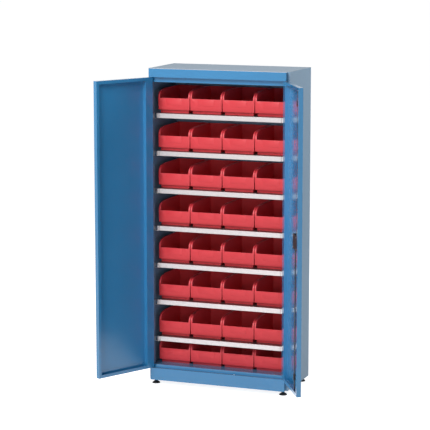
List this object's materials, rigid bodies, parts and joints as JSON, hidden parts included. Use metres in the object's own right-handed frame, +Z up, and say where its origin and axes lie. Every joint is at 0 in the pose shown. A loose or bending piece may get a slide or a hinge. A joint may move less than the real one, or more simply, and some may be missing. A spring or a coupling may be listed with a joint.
{
  "type": "bin cabinet",
  "caption": "Tall sheet-steel parts cabinet with folded double doors, shelves on slotted posts, open-fronted picking bins, rod lock and levelling feet.",
  "frame": {"origin": "on the floor under the middle of the cabinet's footprint", "axes": "+X to the right of someone who faces the doors, +Y from the front to the back, +Z up"},
  "size_m": [1.3229, 0.8331, 2],
  "materials": {
    "grey_paint": "satin powder coat",
    "blue_paint": "satin powder coat",
    "zinc_sheet": "bright galvanised",
    "bin_plastic": "satin moulded",
    "pin_steel": "bright",
    "lock_plastic": "fine texture",
    "rod_steel": "zinc plated",
    "guide_plastic": "moulded",
    "foot_plastic": "moulded"
  },
  "bodies": {
    "carcass": {"left_side_panel": "grey_paint", "right_side_panel": "grey_paint", "back_panel": "grey_paint", "roof_panel": "grey_paint", "header_rail": "blue_paint", "plinth_rail": "blue_paint", "floor_panel": "blue_paint", "shelf_brackets": "zinc_sheet", "hinge_pins": "pin_steel", "shelf_1": "zinc_sheet", "shelf_2": "zinc_sheet", "shelf_3": "zinc_sheet", "shelf_4": "zinc_sheet", "shelf_5": "zinc_sheet", "shelf_6": "zinc_sheet", "shelf_7": "zinc_sheet"},
    "left_door": {"left_door": "blue_paint"},
    "right_door": {"right_door": "blue_paint", "lock_case": "zinc_sheet", "rod_guides": "guide_plastic"},
    "lock_handle": {"lock_handle": "lock_plastic", "lock_cam": "rod_steel"},
    "upper_lock_rod": {"upper_lock_rod": "rod_steel"},
    "lower_lock_rod": {"lower_lock_rod": "rod_steel"},
    "bin_row1_column1": {"bin_row1_column1": "bin_plastic"},
    "bin_row1_column2": {"bin_row1_column2": "bin_plastic"},
    "bin_row1_column3": {"bin_row1_column3": "bin_plastic"},
    "bin_row1_column4": {"bin_row1_column4": "bin_plastic"},
    "bin_row2_column1": {"bin_row2_column1": "bin_plastic"},
    "bin_row2_column2": {"bin_row2_column2": "bin_plastic"},
    "bin_row2_column3": {"bin_row2_column3": "bin_plastic"},
    "bin_row2_column4": {"bin_row2_column4": "bin_plastic"},
    "bin_row3_column1": {"bin_row3_column1": "bin_plastic"},
    "bin_row3_column2": {"bin_row3_column2": "bin_plastic"},
    "bin_row3_column3": {"bin_row3_column3": "bin_plastic"},
    "bin_row3_column4": {"bin_row3_column4": "bin_plastic"},
    "bin_row4_column1": {"bin_row4_column1": "bin_plastic"},
    "bin_row4_column2": {"bin_row4_column2": "bin_plastic"},
    "bin_row4_column3": {"bin_row4_column3": "bin_plastic"},
    "bin_row4_column4": {"bin_row4_column4": "bin_plastic"},
    "bin_row5_column1": {"bin_row5_column1": "bin_plastic"},
    "bin_row5_column2": {"bin_row5_column2": "bin_plastic"},
    "bin_row5_column3": {"bin_row5_column3": "bin_plastic"},
    "bin_row5_column4": {"bin_row5_column4": "bin_plastic"},
    "bin_row6_column1": {"bin_row6_column1": "bin_plastic"},
    "bin_row6_column2": {"bin_row6_column2": "bin_plastic"},
    "bin_row6_column3": {"bin_row6_column3": "bin_plastic"},
    "bin_row6_column4": {"bin_row6_column4": "bin_plastic"},
    "bin_row7_column1": {"bin_row7_column1": "bin_plastic"},
    "bin_row7_column2": {"bin_row7_column2": "bin_plastic"},
    "bin_row7_column3": {"bin_row7_column3": "bin_plastic"},
    "bin_row7_column4": {"bin_row7_column4": "bin_plastic"},
    "bin_row8_column1": {"bin_row8_column1": "bin_plastic"},
    "bin_row8_column2": {"bin_row8_column2": "bin_plastic"},
    "bin_row8_column3": {"bin_row8_column3": "bin_plastic"},
    "bin_row8_column4": {"bin_row8_column4": "bin_plastic"},
    "front_left_foot": {"front_left_foot": "foot_plastic"},
    "front_right_foot": {"front_right_foot": "foot_plastic"},
    "back_left_foot": {"back_left_foot": "foot_plastic"},
    "back_right_foot": {"back_right_foot": "foot_plastic"}
  },
  "joints": [
    {"name": "left_door_hinge", "type": "hinge", "parent": "carcass", "child": "left_door", "pos_m": [-0.44, -0.211, 1.027], "axis": [0, 0, -1], "range_deg": [-117, 53]},
    {"name": "right_door_hinge", "type": "hinge", "parent": "carcass", "child": "right_door", "pos_m": [0.44, -0.211, 1.027], "axis": [0, 0, 1], "range_deg": [-120, 50]},
    {"name": "lock_handle_turn", "type": "hinge", "parent": "right_door", "child": "lock_handle", "pos_m": [0.62737, -0.50754, 1.025], "axis": [-0.866, -0.5, 0], "range_deg": [0, 90]},
    {"name": "upper_lock_rod_slide", "type": "slide", "parent": "right_door", "child": "upper_lock_rod", "axis": [0, 0, 1], "range_m": [0, 0.03111]},
    {"name": "lower_lock_rod_slide", "type": "slide", "parent": "right_door", "child": "lower_lock_rod", "axis": [0, 0, -1], "range_m": [0, 0.03111]},
    {"name": "bin_row1_column1_slide", "type": "slide", "parent": "carcass", "child": "bin_row1_column1", "axis": [0, -1, 0], "range_m": [0, 0.45]},
    {"name": "bin_row1_column2_slide", "type": "slide", "parent": "carcass", "child": "bin_row1_column2", "axis": [0, -1, 0], "range_m": [0, 0.45]},
    {"name": "bin_row1_column3_slide", "type": "slide", "parent": "carcass", "child": "bin_row1_column3", "axis": [0, -1, 0], "range_m": [0, 0.45]},
    {"name": "bin_row1_column4_slide", "type": "slide", "parent": "carcass", "child": "bin_row1_column4", "axis": [0, -1, 0], "range_m": [0, 0.45]},
    {"name": "bin_row2_column1_slide", "type": "slide", "parent": "carcass", "child": "bin_row2_column1", "axis": [0, -1, 0], "range_m": [0, 0.45]},
    {"name": "bin_row2_column2_slide", "type": "slide", "parent": "carcass", "child": "bin_row2_column2", "axis": [0, -1, 0], "range_m": [0, 0.45]},
    {"name": "bin_row2_column3_slide", "type": "slide", "parent": "carcass", "child": "bin_row2_column3", "axis": [0, -1, 0], "range_m": [0, 0.45]},
    {"name": "bin_row2_column4_slide", "type": "slide", "parent": "carcass", "child": "bin_row2_column4", "axis": [0, -1, 0], "range_m": [0, 0.45]},
    {"name": "bin_row3_column1_slide", "type": "slide", "parent": "carcass", "child": "bin_row3_column1", "axis": [0, -1, 0], "range_m": [0, 0.45]},
    {"name": "bin_row3_column2_slide", "type": "slide", "parent": "carcass", "child": "bin_row3_column2", "axis": [0, -1, 0], "range_m": [0, 0.45]},
    {"name": "bin_row3_column3_slide", "type": "slide", "parent": "carcass", "child": "bin_row3_column3", "axis": [0, -1, 0], "range_m": [0, 0.45]},
    {"name": "bin_row3_column4_slide", "type": "slide", "parent": "carcass", "child": "bin_row3_column4", "axis": [0, -1, 0], "range_m": [0, 0.45]},
    {"name": "bin_row4_column1_slide", "type": "slide", "parent": "carcass", "child": "bin_row4_column1", "axis": [0, -1, 0], "range_m": [0, 0.45]},
    {"name": "bin_row4_column2_slide", "type": "slide", "parent": "carcass", "child": "bin_row4_column2", "axis": [0, -1, 0], "range_m": [0, 0.45]},
    {"name": "bin_row4_column3_slide", "type": "slide", "parent": "carcass", "child": "bin_row4_column3", "axis": [0, -1, 0], "range_m": [0, 0.45]},
    {"name": "bin_row4_column4_slide", "type": "slide", "parent": "carcass", "child": "bin_row4_column4", "axis": [0, -1, 0], "range_m": [0, 0.45]},
    {"name": "bin_row5_column1_slide", "type": "slide", "parent": "carcass", "child": "bin_row5_column1", "axis": [0, -1, 0], "range_m": [0, 0.45]},
    {"name": "bin_row5_column2_slide", "type": "slide", "parent": "carcass", "child": "bin_row5_column2", "axis": [0, -1, 0], "range_m": [0, 0.45]},
    {"name": "bin_row5_column3_slide", "type": "slide", "parent": "carcass", "child": "bin_row5_column3", "axis": [0, -1, 0], "range_m": [0, 0.45]},
    {"name": "bin_row5_column4_slide", "type": "slide", "parent": "carcass", "child": "bin_row5_column4", "axis": [0, -1, 0], "range_m": [0, 0.45]},
    {"name": "bin_row6_column1_slide", "type": "slide", "parent": "carcass", "child": "bin_row6_column1", "axis": [0, -1, 0], "range_m": [0, 0.45]},
    {"name": "bin_row6_column2_slide", "type": "slide", "parent": "carcass", "child": "bin_row6_column2", "axis": [0, -1, 0], "range_m": [0, 0.45]},
    {"name": "bin_row6_column3_slide", "type": "slide", "parent": "carcass", "child": "bin_row6_column3", "axis": [0, -1, 0], "range_m": [0, 0.45]},
    {"name": "bin_row6_column4_slide", "type": "slide", "parent": "carcass", "child": "bin_row6_column4", "axis": [0, -1, 0], "range_m": [0, 0.45]},
    {"name": "bin_row7_column1_slide", "type": "slide", "parent": "carcass", "child": "bin_row7_column1", "axis": [0, -1, 0], "range_m": [0, 0.45]},
    {"name": "bin_row7_column2_slide", "type": "slide", "parent": "carcass", "child": "bin_row7_column2", "axis": [0, -1, 0], "range_m": [0, 0.45]},
    {"name": "bin_row7_column3_slide", "type": "slide", "parent": "carcass", "child": "bin_row7_column3", "axis": [0, -1, 0], "range_m": [0, 0.45]},
    {"name": "bin_row7_column4_slide", "type": "slide", "parent": "carcass", "child": "bin_row7_column4", "axis": [0, -1, 0], "range_m": [0, 0.45]},
    {"name": "bin_row8_column1_slide", "type": "slide", "parent": "carcass", "child": "bin_row8_column1", "axis": [0, -1, 0], "range_m": [0, 0.45]},
    {"name": "bin_row8_column2_slide", "type": "slide", "parent": "carcass", "child": "bin_row8_column2", "axis": [0, -1, 0], "range_m": [0, 0.45]},
    {"name": "bin_row8_column3_slide", "type": "slide", "parent": "carcass", "child": "bin_row8_column3", "axis": [0, -1, 0], "range_m": [0, 0.45]},
    {"name": "bin_row8_column4_slide", "type": "slide", "parent": "carcass", "child": "bin_row8_column4", "axis": [0, -1, 0], "range_m": [0, 0.45]},
    {"name": "front_left_foot_height", "type": "slide", "parent": "carcass", "child": "front_left_foot", "axis": [0, 0, -1], "range_m": [-0.005, 0.015]},
    {"name": "front_right_foot_height", "type": "slide", "parent": "carcass", "child": "front_right_foot", "axis": [0, 0, -1], "range_m": [-0.005, 0.015]},
    {"name": "back_left_foot_height", "type": "slide", "parent": "carcass", "child": "back_left_foot", "axis": [0, 0, -1], "range_m": [-0.005, 0.015]},
    {"name": "back_right_foot_height", "type": "slide", "parent": "carcass", "child": "back_right_foot", "axis": [0, 0, -1], "range_m": [-0.005, 0.015]}
  ],
  "couplings": [
    {"joint": "lock_handle_turn", "follows": "upper_lock_rod_slide", "rad_per_m": 50.487},
    {"joint": "lower_lock_rod_slide", "follows": "upper_lock_rod_slide", "ratio": 1}
  ]
}
